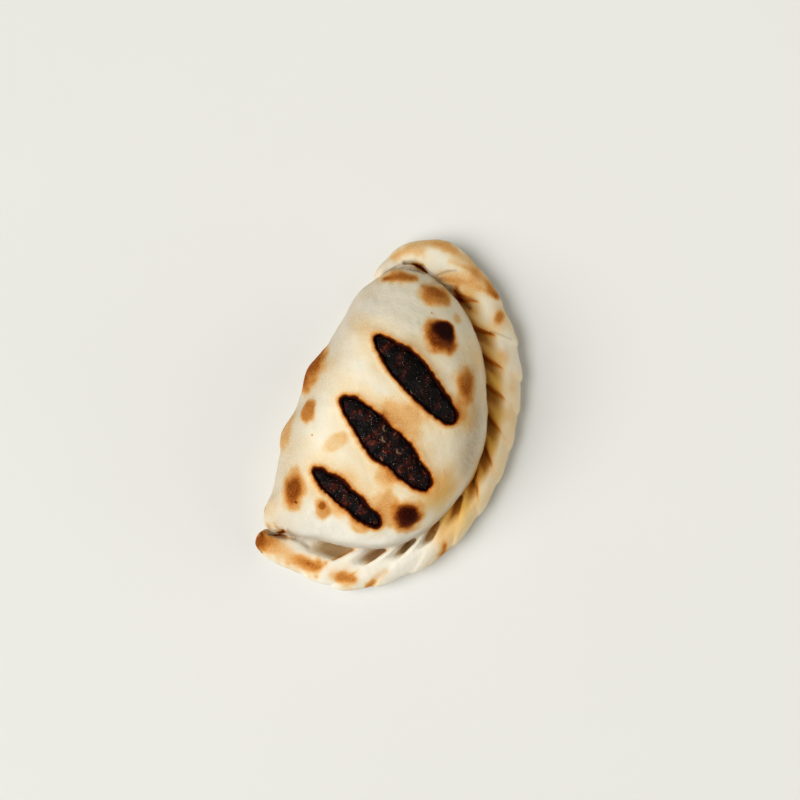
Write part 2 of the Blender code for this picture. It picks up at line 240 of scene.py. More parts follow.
def widest_height(angle):
    """The height at which the pillow is widest."""
    towards_fold = smoothstep((np.sin(angle) + 0.15) / 0.9)
    return WIDEST_AT_RIM + (WIDEST_AT_FOLD - WIDEST_AT_RIM) * towards_fold


def crown_height(x, y):
    """The height of the pillow's crown over plan points."""
    height, length, start = WAVE_ALONG
    swell = height * np.sin(x / length + start)
    height, length, skew = WAVE_ACROSS
    swell = swell + height * np.sin(y / length + x / skew)
    return HEIGHT - HEIGHT_LOSS_AT_ENDS * (x / END_REACH) ** 2 + swell


def pillow_top(x, y, inset=0.0):
    """Height of the pillow's top over plan points; inset is the depth below the dough's face."""
    dx, dy = x - CENTRE[0], y - CENTRE[1]
    angle = np.arctan2(dy, dx)
    share = np.clip(np.hypot(dx, dy) / (pillow_radius(angle) - inset), 0, 1)
    widest = widest_height(angle)
    rise = np.sqrt(1 - share ** (2 / CROWN_ROUNDNESS))
    return widest + (crown_height(x, y) - inset - widest) * rise


def on_pillow(x, y):
    """The point on the pillow's top over a plan point (mm)."""
    return np.array((x * MM, y * MM, pillow_top(x * MM, y * MM)))


def pillow_points(angle, polar, inset=0.0):
    """Points of the pillow. polar runs from 0 at the top to a half turn at the middle beneath."""
    reach = pillow_radius(angle) - inset
    widest = widest_height(angle)
    above = polar <= math.pi / 2
    under = np.clip((polar - math.pi / 2) / (math.pi / 2), 0, 1)
    turn = np.minimum(under / FILLET_SHARE, 1) * math.pi / 2
    share_under = FLAT_SHARE + (1 - FLAT_SHARE) * np.cos(turn)
    share_under *= 1 - np.maximum(under - FILLET_SHARE, 0) / (1 - FILLET_SHARE)
    share = np.where(above, np.sin(polar) ** CROWN_ROUNDNESS, share_under)
    x = CENTRE[0] + reach * share * np.cos(angle)
    y = CENTRE[1] + reach * share * np.sin(angle)
    top = widest + (crown_height(x, y) - inset - widest) * np.cos(polar)
    foot = inset + (widest - inset) * (1 - np.sin(turn))
    return np.stack((x, y, np.where(above, top, foot)), -1)


def raise_blisters(points):
    """The points pushed outwards where a blister swells the dough."""
    count = len(points)
    core = np.stack((0.75 * points[:, 0], np.zeros(count), np.full(count, WIDEST_AT_FOLD / 2)), 1)
    outwards = points - core
    outwards /= np.linalg.norm(outwards, axis=1)[:, None]
    for x, y, radius, rise in BLISTERS:
        nearness = 1 - np.linalg.norm(points - on_pillow(x, y), axis=1) / (1.5 * radius * MM)
        points = points + outwards * (rise * MM * smoothstep(nearness))[:, None]
    return points


def rim_edge():
    """The rim's outer edge from its +X end round to its -X end: distances along it, and angles."""
    angles = np.linspace(RIM_FROM, RIM_TO, EDGE_STEPS)
    reach = rim_radius(angles)
    points = np.stack((reach * np.cos(angles), reach * np.sin(angles)), 1)
    steps = np.linalg.norm(np.diff(points, axis=0), axis=1)
    return np.concatenate(((0,), np.cumsum(steps))), angles


EDGE_DISTANCES, EDGE_ANGLES = rim_edge()
RIM_LENGTH = EDGE_DISTANCES[-1]
PLAIN_END = RIM_LENGTH - PLAIN_START - sum(length for length, _ in PLEATS) * MM - LAST_RISE


def plain_share(distance):
    """1 in the smooth bands at both ends of the rim, 0 in its pleats."""
    start = smoothstep((PLAIN_START + FADE / 2 - distance) / FADE)
    end = smoothstep((distance - RIM_LENGTH + PLAIN_END + FADE / 2) / FADE)
    return start + end


def pleat_rings():
    """Rings along the rim: distances and rises, plain at both ends and pleat after pleat between them."""
    distances = list(np.arange(0.2 * MM, PLAIN_START, RIM_STEP))
    rises = [1.0] * len(distances)
    start = PLAIN_START
    for length, height in PLEATS + ((LAST_RISE / MM, 1.0),):
        profile = PLEAT_SLOPE if length * MM == LAST_RISE else PLEAT_SLOPE + PLEAT_NOSE
        shares, heights = np.array(profile).T
        marks = np.linspace(0, 1, len(shares))
        steps = np.linspace(0, 1, int(1.6 * length * MM / RIM_STEP))
        distances += list(start + length * MM * np.interp(steps, marks, shares))
        rises += list(height * np.interp(steps, marks, heights))
        start += length * MM
    tail = list(np.arange(distances[-1] + RIM_STEP, RIM_LENGTH - 0.1 * MM, RIM_STEP))
    return np.array(distances + tail), np.array(rises + [1.0] * len(tail))


def rim_top(distance, across, rise):
    """Height of the rim's upper face."""
    foot_rise = smoothstep((distance - FOOT_RISES_FROM) / (FOOT_RISES_TO - FOOT_RISES_FROM))
    drop = np.where(across > 0.5, PLEAT_DROP, FOOT_DROP * (1 - foot_rise))
    pleat = PLEAT_TOP - drop * np.minimum(abs(across - 0.5) / 0.5, 1) ** 2
    pocket_to = POCKET_TO + (POCKET_TO_AT_LAST - POCKET_TO) * foot_rise
    closing = smoothstep((across - POCKET_FROM) / (pocket_to - POCKET_FROM))
    pocket = POCKET + (POCKET_FILL * pleat - POCKET) * closing
    pleated = pocket + (pleat - pocket) * rise
    first_half = distance < RIM_LENGTH / 2
    foot = np.where(first_half, START_HOLLOW[0], END_HOLLOW[0])
    width = np.where(first_half, START_HOLLOW[1], END_HOLLOW[1])
    smooth = foot + (PLAIN_TOP - foot) * smoothstep(across / width)
    smooth = smooth - PLEAT_DROP * np.maximum((across - 0.6) / 0.4, 0) ** 2
    return pleated + (smooth - pleated) * plain_share(distance)


def crease_run(distance, across):
    """How far along the rim a crease has yet to run to the outer edge, from a share across the rim."""
    slant = SLANT * smoothstep(np.minimum(distance, RIM_LENGTH - distance) / SLANT_FADE)
    slant = slant * (1 - SLANT_DIP * bell(distance, SLANT_DIP_AT, SLANT_DIP_WIDTH))
    inwards = 1 - np.clip(across, 0, 1)
    return slant * RIM_WIDTH * (inwards + SLANT_AT_FOOT * inwards**3)


def rim_points(distance, rise, turn):
    """Points of the rim. turn goes round its section, from the outer edge over the top to the root."""
    from_tip = np.minimum(distance, RIM_LENGTH - distance)
    taper = np.sqrt(1 - (1 - np.minimum(from_tip / TIP_TAPER, 1)) ** 2)
    root = -RIM_ROOT / RIM_WIDTH
    outwards = (1 + np.cos(turn)) / 2
    across = root + (1 - root) * outwards
    edge_height = EDGE_HEIGHT + EDGE_HEIGHT_GAIN * smoothstep(1 - distance / (2 * PLAIN_START))
    body = np.abs(np.sin(turn)) ** RIM_FULLNESS
    top = edge_height + body * (rim_top(distance, across, rise) - EDGE_HEIGHT)
    lift = LIFT_INSIDE + (LIFT_OUTSIDE + edge_height - EDGE_HEIGHT) * smoothstep(across)
    z = np.where(np.sin(turn) >= 0, top, edge_height - body * (edge_height - lift))
    across = across + SCALLOP / RIM_WIDTH * (rise - 0.5) * (1 - plain_share(distance)) * outwards
    across = 0.5 + (across - 0.5) * taper
    z = edge_height + (z - edge_height) * taper
    angle = np.interp(distance - crease_run(distance, across), EDGE_DISTANCES, EDGE_ANGLES)
    inner, outer = pillow_radius(angle), rim_radius(angle)
    reach = inner + across * np.where(across > 0, outer - inner, RIM_WIDTH)
    return np.stack((CENTRE[0] + reach * np.cos(angle), CENTRE[1] + reach * np.sin(angle), z), -1)


def spline_values(values, share):
    """A smooth curve through values at even steps, read at shares from 0 to 1."""
    padded = np.concatenate(((2 * values[0] - values[1],), values, (2 * values[-1] - values[-2],)))
    position = np.clip(share, 0, 1) * (len(values) - 1)
    step = np.minimum(position.astype(int), len(values) - 2)
    t = position - step
    return catmull_rom(*(padded[step + i] for i in range(4)), t)


def cut_axes(cut):
    """A cut's fold end, the directions along it and across it, and its length."""
    first, second = np.array(cut[0]) * MM, np.array(cut[1]) * MM
    length = np.linalg.norm(second - first)
    along = (second - first) / length
    return first, along, np.array((-along[1], along[0])), length


def half_widths(cut, share):
    """How wide a cut is towards +X and towards -X, at shares of its length."""
    return (spline_values(np.array(widths), share) * MM for widths in cut[2:])


def cut_points(cut, share, side, margin=0.0):
    """Plan points of a cut. share runs from its fold end to its rim end, side from 1 at +X to -1 at -X."""
    first, along, across, length = cut_axes(cut)
    forward, back = half_widths(cut, share)
    from_end = np.minimum(np.minimum(share, 1 - share) / CUT_ROUNDING, 1)
    rounding = CUT_END_WIDTH + (1 - CUT_END_WIDTH) * np.sqrt(1 - (1 - from_end) ** 2)
    half = np.where(side > 0, forward, back)
    draw = np.random.RandomState(int(CUT_SEED + cut[0][0]))
    ragged = 0.0
    for height, turns in CUT_RAGS:
        rags = [height * MM * spline_values(draw.normal(size=turns), share) for _ in range(2)]
        ragged = ragged + np.where(side > 0, *rags)
    reach = margin + share * (length - 2 * margin)
    reach_aside = side * ((half + ragged) * rounding - np.minimum(margin, 0.5 * half * rounding))
    return first + reach[..., None] * along + reach_aside[..., None] * across


def cut_distance(cut, points):
    """Plan distance to a cut's edge: above 0 outside it, and below 0 inside."""
    shares = np.linspace(0, 1, CUT_OUTLINE_STEPS)
    left, right = (cut_points(cut, shares, np.full(CUT_OUTLINE_STEPS, side)) for side in (1, -1))
    outline = np.concatenate((left, right[::-1]))
    tree = KDTree(len(outline))
    for index, (x, y) in enumerate(outline):
        tree.insert((x, y, 0), index)
    tree.balance()
    nearest = np.array([tree.find((x, y, 0))[2] for x, y in points])
    first, along, across, length = cut_axes(cut)
    share = (points - first) @ along / length
    offset = (points - first) @ across
    forward, back = half_widths(cut, share)
    inside = (share > 0) & (share < 1) & (offset < forward) & (offset > -back)
    return np.where(inside, -nearest, nearest)


def edge_distance(points):
    """Plan distance to the edge of the nearest cut."""
    return np.min([cut_distance(cut, points[:, :2]) for cut in CUTS], axis=0)


def put_in_scene(name, data):
    """A new object of a mesh, a light or a camera."""
    made = bpy.data.objects.new(name, data)
    bpy.context.scene.collection.objects.link(made)
    return made


def closed_loft(name, rings):
    """A closed mesh through rings of points, each end closed by a fan to the ring's middle."""
    count, around = rings.shape[:2]
    vertices = list(rings.reshape(-1, 3)) + [rings[0].mean(0), rings[-1].mean(0)]
    last, end = (count - 1) * around, count * around
    sides = [(i, (i + 1) % around) for i in range(around)]
    starts = range(0, last, around)
    faces = [(k + i, k + j, k + around + j, k + around + i) for k in starts for i, j in sides]
    faces += [(j, i, end) for i, j in sides] + [(last + i, last + j, end + 1) for i, j in sides]
    mesh = bpy.data.meshes.new(name)
    mesh.from_pydata([tuple(v) for v in vertices], [], faces)
    bm = bmesh.new()
    bm.from_mesh(mesh)
    bmesh.ops.recalc_face_normals(bm, faces=bm.faces)
    bm.to_mesh(mesh)
    bm.free()
    return put_in_scene(name, mesh)


def pillow(name, inset=0.0):
    """The closed pillow, or what lies at a depth below its face."""
    around, up = CORE_STEPS if inset else PILLOW_STEPS
    polar = np.linspace(0, math.pi, up + 1)[1:-1, None]
    angle = np.linspace(0, 2 * math.pi, around, endpoint=False)[None, :]
    polar, angle = np.broadcast_arrays(polar, angle)
    rings = pillow_points(angle, polar, inset)
    if not inset:
        above = polar <= math.pi / 2
        rings[above] = raise_blisters(rings[above])
    return closed_loft(name, rings)


def rope_rim(name):
    """The closed rim, with its pleats and smooth ends."""
    distances, rises = pleat_rings()
    turns = np.linspace(0, 2 * math.pi, RIM_SECTION_STEPS, endpoint=False)
    return closed_loft(name, rim_points(distances[:, None], rises[:, None], turns[None, :]))


def column(name, plan, top, bottom):
    """A closed block over plan points, between two heights for each."""
    upper, lower = (np.concatenate((plan, z[..., None]), -1) for z in (top, bottom))
    return closed_loft(name, np.concatenate((upper, lower[:, ::-1]), 1))


def share_and_side(length_steps, width_steps):
    """Grids of even shares along a cut and of sides across it."""
    return np.meshgrid(np.linspace(0, 1, length_steps), np.linspace(-1, 1, width_steps), indexing="ij")


def cut_block(name, cut):
    """A closed block of a cut's outline, through the pillow's top."""
    plan = cut_points(cut, *share_and_side(CUT_LENGTH_STEPS, CUT_WIDTH_STEPS))
    z = pillow_top(plan[..., 0], plan[..., 1])
    return column(name, plan, z + WELL_TOP, z - WELL_DEPTH)


def apply_modifiers(target):
    """Replaces the object's mesh by what its modifiers make of it."""
    graph = bpy.context.evaluated_depsgraph_get()
    made = bpy.data.meshes.new_from_object(target.evaluated_get(graph))
    target.modifiers.clear()
    target.data = made


def boolean(target, other, operation):
    """Joins another mesh to the target, or cuts it away, and removes the other."""
    modifier = target.modifiers.new(operation.lower(), "BOOLEAN")
    modifier.operation = operation
    modifier.object = other
    modifier.solver = "MANIFOLD"
    apply_modifiers(target)
    bpy.data.objects.remove(other, do_unlink=True)


def fuse(target, other):
    """Puts both closed meshes in one skin of even, fine faces, and softens it."""
    bm = bmesh.new()
    bm.from_mesh(target.data)
    bm.from_mesh(other.data)
    bm.to_mesh(target.data)
    bm.free()
    bpy.data.objects.remove(other, do_unlink=True)
    remesh = target.modifiers.new("skin", "REMESH")
    remesh.mode = "VOXEL"
    remesh.voxel_size = VOXEL
    soften = target.modifiers.new("soften", "SMOOTH")
    soften.factor = 0.5
    soften.iterations = SMOOTHING_ROUNDS
    apply_modifiers(target)


def surface(mesh):
    """The mesh's points, and the directions in which its face looks there."""
    points, normals = np.empty((2, len(mesh.vertices) * 3), np.float32)
    mesh.vertices.foreach_get("co", points)
    mesh.vertex_normals.foreach_get("vector", normals)
    return points.reshape(-1, 3).astype(float), normals.reshape(-1, 3).astype(float)


def paint(mesh, name, values):
    """Stores a value for each vertex, which a material reads by its name."""
    attribute = mesh.attributes.new(name, "FLOAT", "POINT")
    attribute.data.foreach_set("value", values.astype(np.float32))


# Rounds in which a point's distance by its crease settles
SETTLING_ROUNDS = 12


def rim_place(points):
    """For each point: share across the rim, distance along it, and that of the crease through the point."""
    angle, reach = round_centre(points)
    angle = np.where(angle > RIM_FROM, angle - 2 * math.pi, angle)
    inner, outer = pillow_radius(angle), rim_radius(angle)
    across = (reach - inner) / np.maximum(outer - inner, 1 * MM)
    along = np.interp(-angle, -EDGE_ANGLES, EDGE_DISTANCES)
    distance = along
    for _ in range(SETTLING_ROUNDS):
        distance = 0.5 * distance + 0.5 * (along + crease_run(np.clip(distance, 0, RIM_LENGTH), across))
    return across, along, distance


# Browned places on the pillow: x, y, length, width (mm), direction of the length (degrees), depth of colour
PILLOW_BROWNS = (
    (28.6, -3.8, 13.6, 11, 20, 0.34), (28.4, -3.9, 11.4, 9.4, 20, 0.42), (31.4, -4.1, 7.6, 7, 20, 0.9),
    (32, -4.3, 5.4, 5, 20, 0.8),
    (18, -18, 13, 8.8, 26, 0.2), (18.2, -18.2, 9.6, 6.4, 26, 0.3), (17.4, -18.6, 5.6, 3.6, 26, 0.1),
    (-29.4, -20.2, 11.6, 10.4, 26, 0.4), (-29.3, -20.2, 7.6, 7.4, 0, 0.72), (-28.6, -20.4, 4.2, 4, 0, 0.6),
    (-37.9, 17.6, 13.6, 7.6, 26, 0.34), (-38.2, 17.2, 7.6, 4.6, 26, 0.32), (-12.7, 24.5, 8.2, 5.6, 26, 0.38),
    (1.6, 29.6, 18, 10, 10, 0.46), (-20.6, 28.2, 15, 5.6, 10, 0.2), (42, 4, 10.2, 11.2, 26, 0.38),
    (43, 4.4, 5.6, 7.6, 26, 0.16), (38, -6, 5, 4, 0, 0.2), (22, 23, 8, 8, 0, 0.06),
    (-31, -12.6, 12, 9, 26, 0.22), (-37.3, 0.6, 7, 5, 26, 0.1), (-3, -4.6, 18, 12, 110, 0.17),
    (-18.8, 11.3, 5, 9, 60, 0.15), (-39.9, 6, 8.4, 5, 26, 0.24), (-38.7, 6.5, 2.6, 2.2, 0, 0.3),
    (-39, -7, 5, 7, 0, 0.2), (-20.6, -8.8, 9, 7, 0, 0.14), (9.3, -20.6, 8, 5.4, 26, 0.14),
    (-46.8, 24.7, 5, 3, 60, 0.34), (-19, -10, 7, 5, 0, 0.1), (0, -4, 9, 36, 22, 0.03),
    (-41.3, 14.7, 0.8, 0.8, 0, 0.5), (-19.5, 19.5, 0.8, 0.8, 0, 0.35), (35, 2.2, 0.7, 0.8, 0, 0.35),
)
# Browned places on the rim: distance along it (mm), share across it, length (mm), width (share), depth
RIM_BROWNS = (
    (61.4, 0.74, 3.8, 0.3, 0.3), (61.4, 0.74, 9, 0.6, 0.12), (75, 0.55, 8, 0.35, 0.12),
    (86, 0.75, 8, 0.3, 0.08), (97, 0.65, 7, 0.3, 0.05), (103, 0.8, 30, 0.5, 0.06), (150, 0.6, 10, 0.6, 0.08),
)
# Golden places on the rim, in the same order; the last ones lie on its lower right pleats
RIM_GOLDS = (
    (46, 0.1, 20, 0.6, 0.8), (66, 0.15, 24, 0.6, 0.85), (84, 0.15, 26, 0.7, 0.98), (102, 0.15, 26, 0.7, 0.98),
    (120, 0.15, 26, 0.7, 0.98), (138, 0.15, 24, 0.8, 0.95), (149, 0.5, 14, 0.9, 0.4),
    (138, 0.7, 14, 0.5, 0.35), (112, 0.75, 50, 0.7, 0.2), (88, 0.8, 30, 0.5, 0.12), (135, 0.7, 30, 0.7, 0.2),
)
# Pale, floury places on the rim, in the same order
RIM_PALES = (
    (22, 0.35, 44, 0.9, 0.45), (68, 0.5, 14, 0.4, 0.3), (165, 0.5, 26, 2.4, 0.8),
    (75, 0.8, 40, 0.5, 0.4), (105, 0.8, 50, 0.5, 0.25),
    (188, 0.3, 44, 2.8, 0.97), (212, 0.2, 30, 2.4, 0.9),
)
# The valley's gold fades out on the pillow's side below this height, over this height
GOLD_TOP = 14 * MM
GOLD_FADE = 9 * MM
# Golden places on the pillow: x, y, size across (mm) and depth of colour
PILLOW_GOLDS = ((-17.5, -26.5, 15, 0.75), (9.5, -22.5, 11, 0.5), (30, -16, 12, 0.3), (-30, 4, 10, 0.25))
# Pale, floury places on the pillow, in the same order
PILLOW_PALES = ((-50.5, 12.0, 26, 0.85), (-45.0, 2.0, 16, 0.5), (16.0, 30.0, 30, 0.6), (30.0, 27.0, 16, 0.5))
# Crevices and the pillow's right flank, darkened with painted shade: plan points with the width there (mm),
# darkness of the painted shade, and the groove's depth (mm), 0 on the flank where there is no groove
CREVICES = (
    (((40, 24.4, 0.6), (43.4, 23.1, 0.8), (49, 18.9, 1.2)), 0.4, 0.6),
    (((47.4, 17.2, 1), (49.1, 14.4, 1.9), (48.3, 11.4, 1)), 0.55, 0.3),
    (((49.3, 19.1, 1.2), (50.6, 15.8, 1.8), (50.5, 13.4, 2.2), (49.7, 10.4, 0.8)), 0.97, 1.2),
    (((43, 9, 1), (47, 6.8, 2.4), (50.3, 4.8, 1.2)), 0.12, 0.6),
    (((50.3, 7.3, 0.5), (53.1, 4.9, 0.8), (54.7, 2.3, 0.4)), 0.6, 0.4),
    (((48.6, 5.4, 0.6), (48.2, 1.4, 1), (48.3, -0.5, 1.6)), 0.8, 0.6),
    (((48.5, 0.8, 2.2), (47.3, -3.2, 1.9), (46, -7.7, 0.7)), 0.75, 0.9),
    (((24, -18, 5), (12.6, -25.3, 9), (-4.6, -30.5, 7)), 0.24, 0),
    (((12.6, -25.6, 4), (3.6, -29, 6), (-7.6, -30.8, 4)), 0.22, 0),
    (((40.8, -17.7, 0.9), (41.7, -24.9, 0.4)), 0.35, 0.2),
    (((-50.7, 13.5, 1.4), (-51.2, 10.6, 2.4), (-51.9, 5.9, 1.4)), 0.5, 0.5),
    (((-54, 19.6, 0.8), (-53, 17.4, 1.2), (-51.3, 15.1, 1.5)), 0.97, 0.5),
    (((-54.5, 22.5, 1.2), (-55.2, 21.4, 0.8)), 0.8, 0.4),
    (((-60.8, 20.1, 1), (-60.4, 19.3, 0.7)), 0.8, 0.2),
)
# How soft the painted places' edges are, as shares of their half width
PILLOW_SOFTNESS = 0.8
RIM_SOFTNESS = 1.3
ROUND_SOFTNESS = 1.6
# Browning along the cuts' edges: depth of colour, and how far it reaches (mm)
CUT_BROWNS = ((0.96, 1.1), (0.34, 2.5), (0.09, 8.0))
# Browned streaks, and painted shade that deepens the crevice at the +X end, the crack at the -X tip and the
# first pocket: plan points with the width there (mm), depth of colour
STREAKS = (
    (((39.8, 21.9, 2.4), (42.5, 17.6, 4.6), (44.5, 13, 2.4)), 0.42),
    (((50.4, 16.6, 0.8), (50.5, 13.6, 1.5), (49.9, 11.2, 0.8)), 0.85),
    (((-53.4, 18, 0.5), (-51.5, 15.3, 1)), 0.7),
    ((
        (50, 23.2, 3), (55.4, 19.3, 5.5), (59.7, 14.5, 5.5), (61.3, 8.8, 4.8), (59.7, -0.7, 4.4),
        (56.5, -8.7, 4), (53, -14.1, 3),
    ), 0.19),
    (((60, 12.5, 5), (60.6, 6, 5)), 0.12),
    (((55.8, -9.5, 2.8), (53.2, -13.6, 2.6)), 0.1),
    (((56.7, 5.5, 2.6), (57.3, -3.8, 2)), 0.14),
    (((50.2, 4.3, 1.6), (52.7, -4, 2.4), (52.7, -13.5, 2)), 0.13),
    (((49.5, 7, 3), (55, -2, 7), (53, -13, 5)), 0.14),
    (((48.4, -0.6, 2), (47.2, -3.6, 1.6)), 0.5),
    (((-31.4, -35.2, 1.8), (-34.4, -35.9, 2.2)), 0.36),
    (((-48, -20.9, 3), (-50.9, -19.6, 4.2), (-54.6, -18.1, 4.4)), 0.15),
    (((-53.4, -18.8, 2.6), (-55.4, -17.9, 3.2)), 0.3),
    (((-57.2, -5.9, 6), (-55.8, -9.4, 8), (-54.7, -13.2, 5.4)), 0.18),
    (((-56.6, -8.6, 3.4), (-55.4, -12.4, 3.6)), 0.28),
    (((-57.2, 6, 5.4), (-56.8, 2.2, 5.6), (-56.7, 0.4, 5)), 0.15),
    (((-57, 3.2, 3.6), (-56.8, 0.4, 4.2)), 0.26),
    (((-57.1, 20.7, 6), (-56.6, 16.2, 8), (-57.4, 10.1, 8), (-57.2, 5.4, 7)), 0.23),
    (((-58, 20.6, 6), (-55.4, 18, 4)), 0.2),
    (((-58.6, 22.6, 5), (-55, 21.4, 3.6)), 0.3),
)
# How dark the line under each pleat's nose is, from the +X end: browning and painted shade in one
CREASE_TONES = (0.35, 0.36, 0.34, 0.26, 0.26, 0.24, 0.34, 0.26, 0.12, 0.2, 0.25, 0.25)
CREASE_WIDTH = 0.8 * MM
# Creases fade out towards the rim's edge, and near the pleats' top
CREASE_END = 0.95
CREASE_FADE = 0.6
CREASE_DEPTH = 0.8 * MM
# A pocket takes its painted shade between these depths below the pleats' top
POCKET_SHADE_FROM = 1.0 * MM
POCKET_SHADE_TO = 4.5 * MM
# How much gold warms the painted shade in the pockets
POCKET_GOLD = 0.55
# Pockets are dark with painted shade only past this distance along the rim; before it they are golden, with
# little painted shade
POCKET_DARKNESS = 0.42
DARKNESS_IN_GOLD = 0.04
DARK_FROM = 140 * MM
DARK_FADE = 20 * MM
# Painted shade makes a dark line along the pillow's foot
FOOT_SHADE = 0.35
# Painted shade makes the pillow a little darker beside the rim, as far as this along it
RIM_SIDE_SHADE = 0.12
RIM_SIDE_TO = 170 * MM
RIM_SIDE_FADE = 30 * MM
# Painted shade makes the fold side a little greyer
FOLD_SIDE_SHADE = 0.43
# Browning of the dough everywhere, and of the underside
DOUGH_BROWNING = 0.02
UNDERSIDE_BROWNING = 0.14
# Unevenness: strength (mm in the relief), wavelength (mm) and seed of each layer of waves
DOUGH_RELIEF = ((0.16, 11, 11), (0.04, 4.5, 12), (0.02, 1.9, 13))
BROWN_EDGES = ((0.07, 7, 21), (0.03, 3, 22))
DOUGH_PATCHES = ((0.028, 26, 23), (0.015, 9, 24))
UNDERSIDE_PATCHES = ((0.05, 14, 25),)
GOLD_EDGES = ((0.08, 7, 26),)
PALE_EDGES = ((0.1, 8, 27),)
RED_PATCHES = ((0.35, 5, 31),)


def blot(distance, softness):
    """1 inside a blot whose edge is at distance 1, falling to 0 outside it."""
    return smoothstep((1 + softness / 2 - distance) / softness)


def beside_rim(along):
    """1 where the rim lies beside the pillow, 0 on the fold side."""
    return smoothstep(np.minimum(along, RIM_LENGTH - along) / (2 * MM))


def rim_blots(places, across, along, wobble):
    """What the painted places on the rim leave unpainted at each point."""
    left = np.ones(len(across))
    for place, share, length, width, depth in places:
        far = np.hypot(2 * (along / MM - place) / length, 2 * (across - share) / width)
        left *= 1 - depth * blot(far + wobble, RIM_SOFTNESS) * beside_rim(along)
    return left


def pillow_blots(places, points, wobble):
    """What the round painted places on the pillow leave unpainted at each point."""
    left = np.ones(len(points))
    for x, y, size, depth in places:
        far = 2 * np.linalg.norm(points - on_pillow(x, y), axis=1) / (size * MM)
        left *= 1 - depth * blot(far + wobble, ROUND_SOFTNESS)
    return left


def stroke(points, line, wobble=0.0):
    """1 on a line through plan points, falling off to 0 over the width that it has there."""
    near = np.zeros(len(points))
    for start, end in zip(line, line[1:]):
        start, step = np.array(start) * MM, (np.array(end) - start) * MM
        offset = points[:, :2] - start[:2]
        share = np.clip(offset @ step[:2] / (step[:2] @ step[:2]), 0, 1)
        far = np.linalg.norm(offset - share[:, None] * step[:2], axis=1) * (1 + wobble)
        near = np.maximum(near, np.exp(-((2 * far / (start[2] + share * step[2])) ** 2)))
    return near


def on_rim(across, upward):
    """1 on the rim's upper side, 0 on the pillow and beneath."""
    return smoothstep((across + 0.06) / 0.08) * (upward > -0.3)


def pocket_shade(points, across, distance, upward):
    """How deep in a pleat's pocket each point is, from 0 to 1: the strength of the shade and warm gold
    painted there.
    """
    sunk = rim_top(distance, across, 1.0) - points[:, 2]
    shade = smoothstep((sunk - POCKET_SHADE_FROM) / (POCKET_SHADE_TO - POCKET_SHADE_FROM))
    return shade * on_rim(across, upward) * (1 - plain_share(distance))


def crease_browning_and_shade(points, upward):
    """How brown each point is close under a pleat's nose: browning and painted shade."""
    across, _, distance = rim_place(points)
    brown = np.zeros(len(points))
    start = PLAIN_START
    for tone, length in zip(CREASE_TONES, [length for length, _ in PLEATS] + [0]):
        brown = np.maximum(brown, tone * bell(distance, start + CREASE_WIDTH, CREASE_WIDTH))
        start += length * MM
    sunk = rim_top(distance, across, 1.0) - points[:, 2]
    fading = smoothstep((CREASE_END - across) / CREASE_FADE) * smoothstep(sunk / CREASE_DEPTH)
    return brown * on_rim(across, upward) * fading


def flank_shade(points, across, along, upward):
    """How much painted shade darkens the pillow along its foot and beside the rim, and greys it on its fold
    side.
    """
    shade = FOOT_SHADE * bell(across, 0.01, 0.1) * smoothstep(upward / 0.4 + 0.5)
    shade += RIM_SIDE_SHADE * bell(across, -0.35, 0.4) * smoothstep((RIM_SIDE_TO - along) / RIM_SIDE_FADE)
    shade *= beside_rim(along)
    angle, reach = round_centre(points)
    towards_fold = smoothstep((np.sin(angle) - 0.2) / 0.5)
    outwards = reach / pillow_radius(angle)
    return shade + FOLD_SIDE_SHADE * towards_fold * smoothstep((outwards - 0.55) / 0.4)


def crust_shade(points, upward):
    """How much painted shade darkens each point: in a pocket, in a crevice or on the pillow's flanks."""
    across, along, distance = rim_place(points)
    # Painted shade in the pockets, darker past DARK_FROM
    deepest = smoothstep((along - DARK_FROM) / DARK_FADE)
    depth = DARKNESS_IN_GOLD + (POCKET_DARKNESS - DARKNESS_IN_GOLD) * deepest
    light = 1 - depth * pocket_shade(points, across, distance, upward)
    light *= 1 - flank_shade(points, across, along, upward)
    # Painted shade in the crevices and on the pillow's right flank
    for line, darkness, _ in CREVICES:
        light *= 1 - darkness * stroke(points, line) * (upward > -0.2)
    return 1 - light


def pillow_browns(points, wobble):
    """What the browned places on the pillow leave pale at each point."""
    left = np.ones(len(points))
    lowest = np.where(points[:, 1] > 0, 3 * MM, WIDEST_AT_RIM)
    top = smoothstep((points[:, 2] - lowest) / (3 * MM) + 0.5)
    for x, y, length, width, direction, depth in PILLOW_BROWNS:
        turn = math.radians(direction)
        offset = points - on_pillow(x, y)
        along = offset[:, 0] * math.cos(turn) + offset[:, 1] * math.sin(turn)
        across = offset[:, 1] * math.cos(turn) - offset[:, 0] * math.sin(turn)
        distance = np.sqrt(
            (2 * along / (length * MM)) ** 2 + (2 * across / (width * MM)) ** 2
            + (1.2 * offset[:, 2] / (width * MM)) ** 2
        )
        left *= 1 - depth * blot(distance + wobble, PILLOW_SOFTNESS) * top
    return left


def crust_browning_and_shade(points, upward):
    """How deeply each point of the crust is browned, or darkened by painted shade in crevices and under the
    pleats' noses, from 0 for pale dough to 1 for black.
    """
    wobble = uneven(points, BROWN_EDGES)
    keep = 1 - np.clip(DOUGH_BROWNING + uneven(points, DOUGH_PATCHES), 0, 1)
    keep *= pillow_browns(points, wobble)
    across, along, _ = rim_place(points)
    keep *= 1 - (1 - rim_blots(RIM_BROWNS, across, along, wobble)) * on_rim(across - 0.08, upward)
    # Browned streaks, some of them painted shade in crevices
    for line, depth in STREAKS:
        keep *= 1 - depth * stroke(points, line, 2.5 * wobble) * (upward > -0.2)
    # Browning and painted shade under the pleats' noses
    keep *= 1 - crease_browning_and_shade(points, upward)
    under = smoothstep((1.5 * MM - points[:, 2]) / MM) * (upward < -0.3)
    keep *= 1 - (UNDERSIDE_BROWNING + uneven(points, UNDERSIDE_PATCHES)) * under
    near = np.where(points[:, 2] > 0.5 * HEIGHT, edge_distance(points), 1.0) + 2.5 * MM * wobble
    for depth, reach in CUT_BROWNS:
        keep *= 1 - depth * smoothstep(1 - near / (reach * MM))
    return 1 - keep


